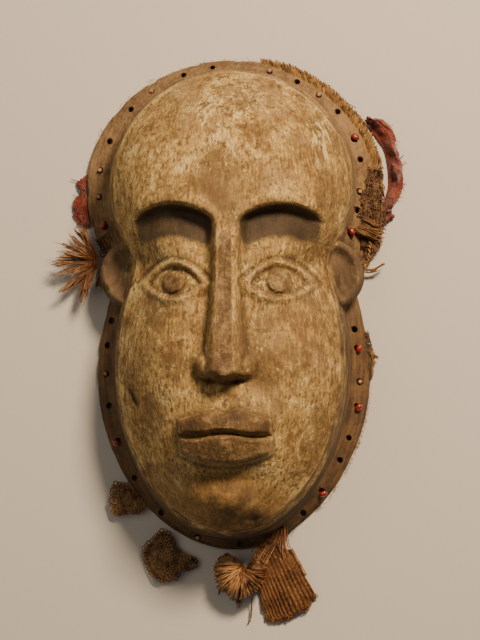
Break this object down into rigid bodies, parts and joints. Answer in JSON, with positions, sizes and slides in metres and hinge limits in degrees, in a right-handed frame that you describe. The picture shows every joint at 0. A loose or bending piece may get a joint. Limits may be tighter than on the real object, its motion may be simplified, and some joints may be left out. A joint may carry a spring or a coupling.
{
  "type": "carved wooden face mask",
  "caption": "Carved wooden face mask with a pale clay skin, hollow behind, its drilled rim set with seeds, pegs and the remains of a looped raffia hood.",
  "frame": {"origin": "middle of the part's outline, at the surface that the mask lies on", "axes": "+X the viewer's right, +Y from chin to crown, +Z out of the face, which looks up"},
  "size_m": [0.22, 0.3514, 0.1112],
  "materials": {
    "clay_skinned_wood": "worn pale clay over dark matt wood",
    "red_seed": "glossy seed coat",
    "pale_peg": "matt split wood",
    "raffia": "dry brown fibre",
    "red_cloth": "dusty faded cloth"
  },
  "bodies": {
    "root": {"mask_body": "clay_skinned_wood", "seed_1": "red_seed", "seed_2": "red_seed", "seed_3": "red_seed", "seed_4": "red_seed", "seed_5": "red_seed", "seed_6": "red_seed", "seed_7": "red_seed", "seed_8": "red_seed", "peg_1": "pale_peg", "peg_2": "pale_peg", "peg_3": "pale_peg", "peg_4": "pale_peg", "peg_5": "pale_peg", "peg_6": "pale_peg", "peg_7": "pale_peg", "peg_8": "pale_peg", "peg_9": "pale_peg", "raffia_edging": "raffia", "raffia_fringe": "raffia", "raffia_remnant": "raffia", "raffia_tuft": "raffia", "red_cloth_right": "red_cloth", "red_cloth_left": "red_cloth", "chin_knot": "raffia", "chin_fan": "raffia", "scrap_chin": "raffia", "scrap_jaw": "raffia"}
  },
  "joints": []
}
